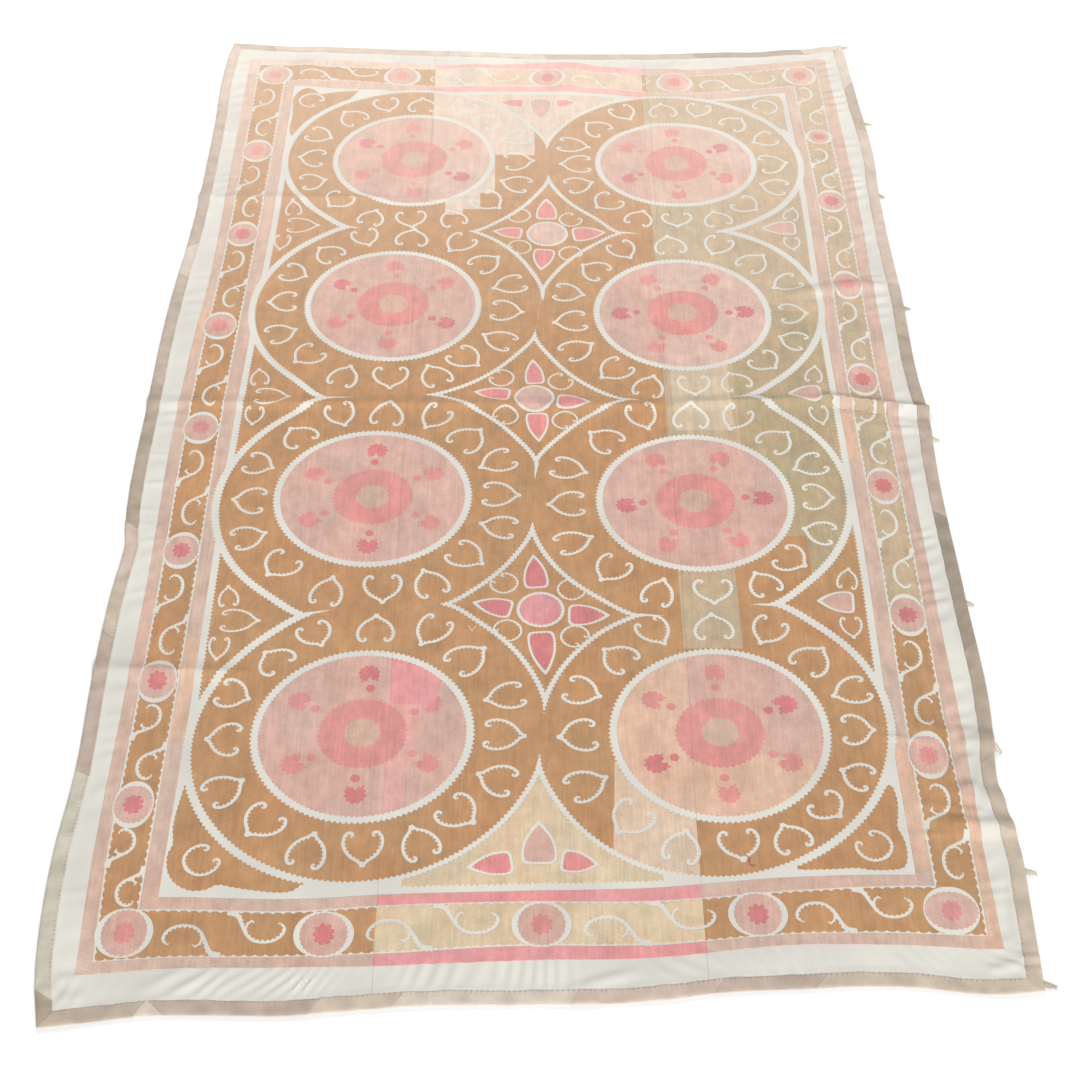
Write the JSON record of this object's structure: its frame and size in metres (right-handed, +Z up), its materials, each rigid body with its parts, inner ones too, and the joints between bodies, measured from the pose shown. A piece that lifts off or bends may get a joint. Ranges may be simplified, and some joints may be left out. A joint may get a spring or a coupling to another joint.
{
  "type": "suzani embroidered textile",
  "caption": "Large embroidered cotton cover lying flat: seamed panels with medallions, heart leaves and a vine border, a pieced binding folded over the edges, and tie stubs along one side.",
  "frame": {"origin": "middle of the box around the cloth, on the floor that it lies on", "axes": "+Z up out of the embroidered face, +Y along the length towards the far edge, +X across the width towards the edge with the tie stubs"},
  "size_m": [1.6535, 2.902, 0.0162],
  "materials": {
    "embroidered_panel": "cream cotton ground worked over in laid and couched silk thread in brown, olive, rose and pale pink",
    "binding_cream": "washed-out plain-weave cotton, pinkish cream",
    "binding_grey": "washed-out plain-weave cotton, grey-brown",
    "tie_cloth": "torn cotton tape, frayed at its end"
  },
  "bodies": {
    "root": {"panel_left": "embroidered_panel", "panel_centre": "embroidered_panel", "panel_right": "embroidered_panel", "binding_left_1": "binding_grey", "binding_left_2": "binding_cream", "binding_left_3": "binding_grey", "binding_left_4": "binding_cream", "binding_left_5": "binding_cream", "binding_left_6": "binding_grey", "binding_left_7": "binding_cream", "binding_left_8": "binding_cream", "binding_left_9": "binding_grey", "binding_left_10": "binding_cream", "binding_right_1": "binding_cream", "binding_right_2": "binding_cream", "binding_right_3": "binding_grey", "binding_right_4": "binding_grey", "binding_right_5": "binding_cream", "binding_right_6": "binding_grey", "binding_right_7": "binding_grey", "binding_right_8": "binding_cream", "binding_right_9": "binding_grey", "binding_right_10": "binding_cream", "binding_near_1": "binding_cream", "binding_near_2": "binding_cream", "binding_near_3": "binding_grey", "binding_near_4": "binding_cream", "binding_near_5": "binding_cream", "binding_near_6": "binding_cream", "binding_near_7": "binding_grey", "binding_near_8": "binding_cream", "binding_far_1": "binding_grey", "binding_far_2": "binding_cream", "binding_far_3": "binding_cream", "binding_far_4": "binding_grey", "binding_far_5": "binding_grey", "binding_far_6": "binding_cream", "tie_1": "tie_cloth", "tie_2": "tie_cloth", "tie_3": "tie_cloth", "tie_4": "tie_cloth", "tie_5": "tie_cloth", "tie_6": "tie_cloth", "tie_7": "tie_cloth", "tie_8": "tie_cloth", "tie_9": "tie_cloth"}
  },
  "joints": []
}
